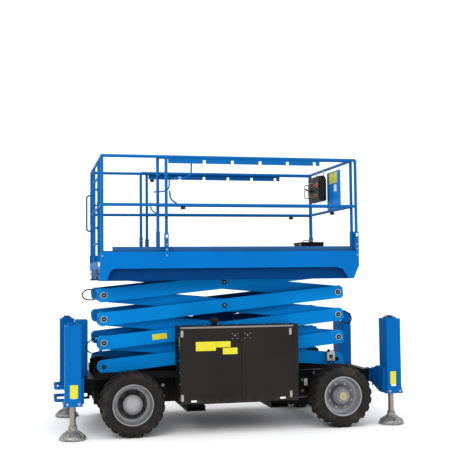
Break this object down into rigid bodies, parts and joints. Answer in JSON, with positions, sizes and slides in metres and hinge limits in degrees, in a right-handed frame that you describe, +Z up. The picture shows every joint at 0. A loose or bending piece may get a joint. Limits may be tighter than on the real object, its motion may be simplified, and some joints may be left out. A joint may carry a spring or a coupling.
{
  "type": "scissor lift",
  "caption": "Rough-terrain scissor lift with stacked arms, railed platform, sliding deck extension, outriggers and hinged side boxes.",
  "frame": {"origin": "ground level under the middle of the machine's outline", "axes": "+X towards the steered wheels and the deck extension, +Y across to the far side, +Z up"},
  "size_m": [3.727, 1.762, 2.889],
  "materials": {
    "chassis_black": "satin",
    "body_blue": "gloss",
    "rail_steel": "satin",
    "tread_rubber": "matte",
    "rim_paint": "satin",
    "bare_steel": "satin",
    "chrome_rod": "gloss",
    "cast_pad": "rough",
    "black_plastic": "matte",
    "hose_rubber": "matte"
  },
  "bodies": {
    "wheel_rear_near": {"tyre_rear_near": "tread_rubber", "rim_rear_near": "rim_paint"},
    "steering_near": {"steering_knuckle_near": "chassis_black"},
    "wheel_front_near": {"tyre_front_near": "tread_rubber", "rim_front_near": "rim_paint"},
    "wheel_rear_far": {"tyre_rear_far": "tread_rubber", "rim_rear_far": "rim_paint"},
    "steering_far": {"steering_knuckle_far": "chassis_black"},
    "wheel_front_far": {"tyre_front_far": "tread_rubber", "rim_front_far": "rim_paint"},
    "rear_door_near": {"rear_door_near": "chassis_black"},
    "front_door_near": {"front_door_near": "chassis_black"},
    "rear_door_far": {"rear_door_far": "chassis_black"},
    "front_door_far": {"front_door_far": "chassis_black"},
    "jack_rear_near": {"jack_leg_rear_near": "chrome_rod", "jack_pad_rear_near": "cast_pad"},
    "jack_rear_far": {"jack_leg_rear_far": "chrome_rod", "jack_pad_rear_far": "cast_pad"},
    "jack_front_near": {"jack_leg_front_near": "chrome_rod", "jack_pad_front_near": "cast_pad"},
    "jack_front_far": {"jack_leg_front_far": "chrome_rod", "jack_pad_front_far": "cast_pad"},
    "inner_arms_1": {"inner_arms_1": "body_blue", "hose_lower_rear": "hose_rubber"},
    "outer_arms_1": {"outer_arms_1": "body_blue"},
    "inner_arms_2": {"inner_arms_2": "body_blue"},
    "outer_arms_2": {"outer_arms_2": "body_blue"},
    "inner_arms_3": {"inner_arms_3": "body_blue", "hose_upper_rear": "hose_rubber", "hose_front": "hose_rubber"},
    "outer_arms_3": {"outer_arms_3": "body_blue"},
    "inner_arms_4": {"inner_arms_4": "body_blue"},
    "outer_arms_4": {"outer_arms_4": "body_blue"},
    "bottom_sliders": {"bottom_slide_block_near": "black_plastic", "bottom_slide_block_far": "black_plastic"},
    "top_sliders": {"top_slide_block_near": "black_plastic", "top_slide_block_far": "black_plastic"},
    "lift_barrel": {"lift_cylinder_barrel": "chassis_black"},
    "lift_rod": {"lift_cylinder_rod": "chrome_rod"},
    "platform": {"platform_deck": "body_blue", "platform_rails": "body_blue"},
    "entry_gate": {"entry_gate": "body_blue"},
    "extension": {"extension_deck": "body_blue", "extension_rails": "body_blue", "platform_control_box": "black_plastic", "document_plate": "body_blue", "deck_power_unit": "black_plastic"},
    "chassis": {"chassis_frame": "chassis_black", "engine_block": "cast_pad", "entry_ladder": "body_blue", "front_axle": "chassis_black", "ground_control_housing": "body_blue", "hydraulic_tank": "bare_steel", "outrigger_housing_front_far": "body_blue", "outrigger_housing_front_near": "body_blue", "outrigger_housing_rear_far": "body_blue", "outrigger_housing_rear_near": "body_blue", "rear_axle": "chassis_black", "side_box_far": "chassis_black", "side_box_near": "chassis_black"}
  },
  "joints": [
    {"name": "wheel_rear_near_spin", "type": "hinge", "parent": "chassis", "child": "wheel_rear_near", "pos_m": [-1.09, -0.7225, 0.33], "axis": [0, 1, 0], "continuous": true},
    {"name": "steer_near", "type": "hinge", "parent": "chassis", "child": "steering_near", "pos_m": [1.15, -0.6, 0.33], "axis": [0, 0, 1], "range_deg": [-30, 30]},
    {"name": "wheel_front_near_spin", "type": "hinge", "parent": "steering_near", "child": "wheel_front_near", "pos_m": [1.15, -0.7225, 0.33], "axis": [0, 1, 0], "continuous": true},
    {"name": "wheel_rear_far_spin", "type": "hinge", "parent": "chassis", "child": "wheel_rear_far", "pos_m": [-1.09, 0.7225, 0.33], "axis": [0, 1, 0], "continuous": true},
    {"name": "steer_far", "type": "hinge", "parent": "chassis", "child": "steering_far", "pos_m": [1.15, 0.6, 0.33], "axis": [0, 0, 1], "range_deg": [-30, 30]},
    {"name": "wheel_front_far_spin", "type": "hinge", "parent": "steering_far", "child": "wheel_front_far", "pos_m": [1.15, 0.7225, 0.33], "axis": [0, 1, 0], "continuous": true},
    {"name": "rear_door_near_hinge", "type": "hinge", "parent": "chassis", "child": "rear_door_near", "pos_m": [-0.618, -0.866, 0.7], "axis": [0, 0, -1], "range_deg": [0, 100]},
    {"name": "front_door_near_hinge", "type": "hinge", "parent": "chassis", "child": "front_door_near", "pos_m": [0.593, -0.866, 0.7], "axis": [0, 0, 1], "range_deg": [0, 100]},
    {"name": "rear_door_far_hinge", "type": "hinge", "parent": "chassis", "child": "rear_door_far", "pos_m": [-0.618, 0.866, 0.7], "axis": [0, 0, 1], "range_deg": [0, 100]},
    {"name": "front_door_far_hinge", "type": "hinge", "parent": "chassis", "child": "front_door_far", "pos_m": [0.593, 0.866, 0.7], "axis": [0, 0, -1], "range_deg": [0, 100]},
    {"name": "jack_rear_near_slide", "type": "slide", "parent": "chassis", "child": "jack_rear_near", "axis": [0, 0, 1], "range_m": [-0.3, 0.2]},
    {"name": "jack_rear_far_slide", "type": "slide", "parent": "chassis", "child": "jack_rear_far", "axis": [0, 0, 1], "range_m": [-0.3, 0.2]},
    {"name": "jack_front_near_slide", "type": "slide", "parent": "chassis", "child": "jack_front_near", "axis": [0, 0, 1], "range_m": [-0.3, 0.2]},
    {"name": "jack_front_far_slide", "type": "slide", "parent": "chassis", "child": "jack_front_far", "axis": [0, 0, 1], "range_m": [-0.3, 0.2]},
    {"name": "scissor_lift", "type": "hinge", "parent": "chassis", "child": "inner_arms_1", "pos_m": [1.224, 0, 0.689], "axis": [0, 1, 0], "range_deg": [0, 57.5]},
    {"name": "outer_arms_1_pivot", "type": "hinge", "parent": "inner_arms_1", "child": "outer_arms_1", "pos_m": [-0.06605, 0, 0.813], "axis": [0, 1, 0], "range_deg": [-115.5, 0]},
    {"name": "inner_arms_2_pivot", "type": "hinge", "parent": "outer_arms_1", "child": "inner_arms_2", "pos_m": [1.224, 0, 0.937], "axis": [0, 1, 0], "range_deg": [0, 115.5]},
    {"name": "outer_arms_2_pivot", "type": "hinge", "parent": "inner_arms_2", "child": "outer_arms_2", "pos_m": [-0.06605, 0, 1.061], "axis": [0, 1, 0], "range_deg": [-115.5, 0]},
    {"name": "inner_arms_3_pivot", "type": "hinge", "parent": "outer_arms_2", "child": "inner_arms_3", "pos_m": [1.224, 0, 1.185], "axis": [0, 1, 0], "range_deg": [0, 115.5]},
    {"name": "outer_arms_3_pivot", "type": "hinge", "parent": "inner_arms_3", "child": "outer_arms_3", "pos_m": [-0.06605, 0, 1.309], "axis": [0, 1, 0], "range_deg": [-115.5, 0]},
    {"name": "inner_arms_4_pivot", "type": "hinge", "parent": "outer_arms_3", "child": "inner_arms_4", "pos_m": [1.224, 0, 1.433], "axis": [0, 1, 0], "range_deg": [0, 115.5]},
    {"name": "outer_arms_4_pivot", "type": "hinge", "parent": "inner_arms_4", "child": "outer_arms_4", "pos_m": [-0.06605, 0, 1.557], "axis": [0, 1, 0], "range_deg": [-115.5, 0]},
    {"name": "bottom_slider_pivot", "type": "hinge", "parent": "outer_arms_1", "child": "bottom_sliders", "pos_m": [-1.35611, 0, 0.689], "axis": [0, 1, 0], "range_deg": [0, 58]},
    {"name": "top_slider_pivot", "type": "hinge", "parent": "inner_arms_4", "child": "top_sliders", "pos_m": [-1.35611, 0, 1.681], "axis": [0, 1, 0], "range_deg": [-58, 0]},
    {"name": "platform_pivot", "type": "hinge", "parent": "outer_arms_4", "child": "platform", "pos_m": [1.224, 0, 1.681], "axis": [0, 1, 0], "range_deg": [0, 58]},
    {"name": "lift_barrel_pivot", "type": "hinge", "parent": "inner_arms_2", "child": "lift_barrel", "pos_m": [-0.6231, 0, 1.01408], "axis": [0, -1, 0], "range_deg": [0, 105.5]},
    {"name": "lift_rod_slide", "type": "slide", "parent": "lift_barrel", "child": "lift_rod", "axis": [0.956, 0, 0.2933], "range_m": [0, 0.412]},
    {"name": "entry_gate_hinge", "type": "hinge", "parent": "platform", "child": "entry_gate", "pos_m": [-1.395, 0.328, 2.35], "axis": [0, 0, 1], "range_deg": [0, 90]},
    {"name": "extension_slide", "type": "slide", "parent": "platform", "child": "extension", "axis": [1, 0, 0], "range_m": [0, 1.52]}
  ],
  "couplings": [
    {"joint": "steer_far", "follows": "steer_near", "ratio": 1},
    {"joint": "outer_arms_1_pivot", "follows": "scissor_lift", "ratio": -2},
    {"joint": "inner_arms_2_pivot", "follows": "scissor_lift", "ratio": 2},
    {"joint": "outer_arms_2_pivot", "follows": "scissor_lift", "ratio": -2},
    {"joint": "inner_arms_3_pivot", "follows": "scissor_lift", "ratio": 2},
    {"joint": "outer_arms_3_pivot", "follows": "scissor_lift", "ratio": -2},
    {"joint": "inner_arms_4_pivot", "follows": "scissor_lift", "ratio": 2},
    {"joint": "outer_arms_4_pivot", "follows": "scissor_lift", "ratio": -2},
    {"joint": "bottom_slider_pivot", "follows": "scissor_lift", "ratio": 1},
    {"joint": "top_slider_pivot", "follows": "scissor_lift", "ratio": -1},
    {"joint": "platform_pivot", "follows": "scissor_lift", "ratio": 1},
    {"joint": "lift_barrel_pivot", "follows": "scissor_lift", "ratio": 1.8249},
    {"joint": "lift_rod_slide", "follows": "scissor_lift", "m_per_rad": 0.4067}
  ]
}
